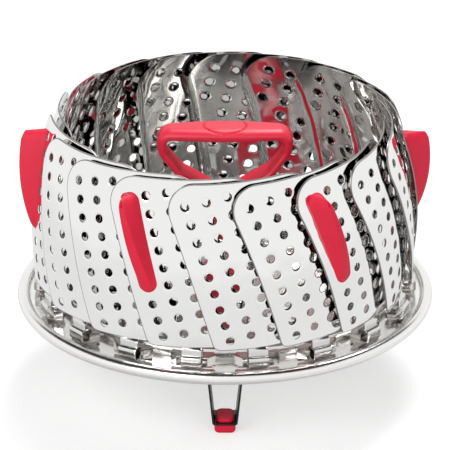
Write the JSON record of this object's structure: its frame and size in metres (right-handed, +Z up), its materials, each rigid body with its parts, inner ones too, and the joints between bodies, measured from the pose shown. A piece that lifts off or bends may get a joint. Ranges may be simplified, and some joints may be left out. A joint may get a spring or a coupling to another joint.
{
  "type": "folding steamer basket",
  "caption": "Folding vegetable steamer: perforated overlapping steel petals hinged round a rimmed dish, with finned grips, a sliding centre handle and folding legs.",
  "frame": {"origin": "on the table, midway between the three feet, under the centre post", "axes": "+Z up along the centre post, -Y to the front leg, +X along the handle bar"},
  "size_m": [0.175, 0.175, 0.1213],
  "materials": {
    "petal_steel": "bright polished stainless sheet",
    "base_steel": "satin stainless sheet",
    "leg_steel": "bright stainless strip",
    "fitting_steel": "turned stainless steel",
    "red_moulding": "soft satin red moulding",
    "red_silicone": "satin red silicone",
    "bush_plastic": "natural acetal"
  },
  "bodies": {
    "base": {"base_plate": "base_steel", "hinge_ring": "base_steel", "centre_post": "fitting_steel", "handle_boss": "red_moulding", "post_washer": "fitting_steel", "post_nut": "fitting_steel", "leg_bracket_1": "base_steel", "leg_bracket_2": "base_steel", "leg_bracket_3": "base_steel", "leg_pin_1": "fitting_steel", "leg_pin_2": "fitting_steel", "leg_pin_3": "fitting_steel", "bracket_rivets": "fitting_steel"},
    "petal_01": {"petal_01": "petal_steel", "petal_grip_01": "red_silicone"},
    "petal_02": {"petal_02": "petal_steel"},
    "petal_03": {"petal_03": "petal_steel"},
    "petal_04": {"petal_04": "petal_steel", "petal_grip_04": "red_silicone"},
    "petal_05": {"petal_05": "petal_steel"},
    "petal_06": {"petal_06": "petal_steel"},
    "petal_07": {"petal_07": "petal_steel", "petal_grip_07": "red_silicone"},
    "petal_08": {"petal_08": "petal_steel"},
    "petal_09": {"petal_09": "petal_steel"},
    "petal_10": {"petal_10": "petal_steel", "petal_grip_10": "red_silicone"},
    "petal_11": {"petal_11": "petal_steel"},
    "petal_12": {"petal_12": "petal_steel"},
    "petal_13": {"petal_13": "petal_steel", "petal_grip_13": "red_silicone"},
    "petal_14": {"petal_14": "petal_steel"},
    "petal_15": {"petal_15": "petal_steel"},
    "petal_16": {"petal_16": "petal_steel", "petal_grip_16": "red_silicone"},
    "petal_17": {"petal_17": "petal_steel"},
    "petal_18": {"petal_18": "petal_steel"},
    "handle": {"handle": "red_moulding", "handle_sleeve": "fitting_steel", "sleeve_bush": "bush_plastic"},
    "leg_1": {"leg_1": "leg_steel", "foot_1": "red_silicone"},
    "leg_2": {"leg_2": "leg_steel", "foot_2": "red_silicone"},
    "leg_3": {"leg_3": "leg_steel", "foot_3": "red_silicone"}
  },
  "joints": [
    {"name": "petal_01_hinge", "type": "hinge", "parent": "base", "child": "petal_01", "pos_m": [-0.01348, -0.07642, 0.0443], "axis": [0.9848, -0.1736, 0], "range_deg": [-25, 54]},
    {"name": "petal_02_hinge", "type": "hinge", "parent": "base", "child": "petal_02", "pos_m": [0.01348, -0.07642, 0.0443], "axis": [0.9848, 0.1736, 0], "range_deg": [-25, 54]},
    {"name": "petal_03_hinge", "type": "hinge", "parent": "base", "child": "petal_03", "pos_m": [0.0388, -0.0672, 0.0443], "axis": [0.866, 0.5, 0], "range_deg": [-25, 54]},
    {"name": "petal_04_hinge", "type": "hinge", "parent": "base", "child": "petal_04", "pos_m": [0.05944, -0.04988, 0.0443], "axis": [0.6428, 0.766, 0], "range_deg": [-25, 54]},
    {"name": "petal_05_hinge", "type": "hinge", "parent": "base", "child": "petal_05", "pos_m": [0.07292, -0.02654, 0.0443], "axis": [0.342, 0.9397, 0], "range_deg": [-25, 54]},
    {"name": "petal_06_hinge", "type": "hinge", "parent": "base", "child": "petal_06", "pos_m": [0.0776, 0, 0.0443], "axis": [0, 1, 0], "range_deg": [-25, 54]},
    {"name": "petal_07_hinge", "type": "hinge", "parent": "base", "child": "petal_07", "pos_m": [0.07292, 0.02654, 0.0443], "axis": [-0.342, 0.9397, 0], "range_deg": [-25, 54]},
    {"name": "petal_08_hinge", "type": "hinge", "parent": "base", "child": "petal_08", "pos_m": [0.05944, 0.04988, 0.0443], "axis": [-0.6428, 0.766, 0], "range_deg": [-25, 54]},
    {"name": "petal_09_hinge", "type": "hinge", "parent": "base", "child": "petal_09", "pos_m": [0.0388, 0.0672, 0.0443], "axis": [-0.866, 0.5, 0], "range_deg": [-25, 54]},
    {"name": "petal_10_hinge", "type": "hinge", "parent": "base", "child": "petal_10", "pos_m": [0.01348, 0.07642, 0.0443], "axis": [-0.9848, 0.1736, 0], "range_deg": [-25, 54]},
    {"name": "petal_11_hinge", "type": "hinge", "parent": "base", "child": "petal_11", "pos_m": [-0.01348, 0.07642, 0.0443], "axis": [-0.9848, -0.1736, 0], "range_deg": [-25, 54]},
    {"name": "petal_12_hinge", "type": "hinge", "parent": "base", "child": "petal_12", "pos_m": [-0.0388, 0.0672, 0.0443], "axis": [-0.866, -0.5, 0], "range_deg": [-25, 54]},
    {"name": "petal_13_hinge", "type": "hinge", "parent": "base", "child": "petal_13", "pos_m": [-0.05944, 0.04988, 0.0443], "axis": [-0.6428, -0.766, 0], "range_deg": [-25, 54]},
    {"name": "petal_14_hinge", "type": "hinge", "parent": "base", "child": "petal_14", "pos_m": [-0.07292, 0.02654, 0.0443], "axis": [-0.342, -0.9397, 0], "range_deg": [-25, 54]},
    {"name": "petal_15_hinge", "type": "hinge", "parent": "base", "child": "petal_15", "pos_m": [-0.0776, 0, 0.0443], "axis": [0, -1, 0], "range_deg": [-25, 54]},
    {"name": "petal_16_hinge", "type": "hinge", "parent": "base", "child": "petal_16", "pos_m": [-0.07292, -0.02654, 0.0443], "axis": [0.342, -0.9397, 0], "range_deg": [-25, 54]},
    {"name": "petal_17_hinge", "type": "hinge", "parent": "base", "child": "petal_17", "pos_m": [-0.05944, -0.04988, 0.0443], "axis": [0.6428, -0.766, 0], "range_deg": [-25, 54]},
    {"name": "petal_18_hinge", "type": "hinge", "parent": "base", "child": "petal_18", "pos_m": [-0.0388, -0.0672, 0.0443], "axis": [0.866, -0.5, 0], "range_deg": [-25, 54]},
    {"name": "handle_slide", "type": "slide", "parent": "base", "child": "handle", "axis": [0, 0, 1], "range_m": [-0.011, 0.018]},
    {"name": "leg_1_hinge", "type": "hinge", "parent": "base", "child": "leg_1", "pos_m": [0, -0.0446, 0.0349], "axis": [1, 0, 0], "range_deg": [0, 90]},
    {"name": "leg_2_hinge", "type": "hinge", "parent": "base", "child": "leg_2", "pos_m": [0.03862, 0.0223, 0.0349], "axis": [-0.5, 0.866, 0], "range_deg": [0, 90]},
    {"name": "leg_3_hinge", "type": "hinge", "parent": "base", "child": "leg_3", "pos_m": [-0.03862, 0.0223, 0.0349], "axis": [-0.5, -0.866, 0], "range_deg": [0, 90]}
  ],
  "couplings": [
    {"joint": "petal_02_hinge", "follows": "petal_01_hinge", "ratio": 1},
    {"joint": "petal_03_hinge", "follows": "petal_01_hinge", "ratio": 1},
    {"joint": "petal_04_hinge", "follows": "petal_01_hinge", "ratio": 1},
    {"joint": "petal_05_hinge", "follows": "petal_01_hinge", "ratio": 1},
    {"joint": "petal_06_hinge", "follows": "petal_01_hinge", "ratio": 1},
    {"joint": "petal_07_hinge", "follows": "petal_01_hinge", "ratio": 1},
    {"joint": "petal_08_hinge", "follows": "petal_01_hinge", "ratio": 1},
    {"joint": "petal_09_hinge", "follows": "petal_01_hinge", "ratio": 1},
    {"joint": "petal_10_hinge", "follows": "petal_01_hinge", "ratio": 1},
    {"joint": "petal_11_hinge", "follows": "petal_01_hinge", "ratio": 1},
    {"joint": "petal_12_hinge", "follows": "petal_01_hinge", "ratio": 1},
    {"joint": "petal_13_hinge", "follows": "petal_01_hinge", "ratio": 1},
    {"joint": "petal_14_hinge", "follows": "petal_01_hinge", "ratio": 1},
    {"joint": "petal_15_hinge", "follows": "petal_01_hinge", "ratio": 1},
    {"joint": "petal_16_hinge", "follows": "petal_01_hinge", "ratio": 1},
    {"joint": "petal_17_hinge", "follows": "petal_01_hinge", "ratio": 1},
    {"joint": "petal_18_hinge", "follows": "petal_01_hinge", "ratio": 1}
  ]
}
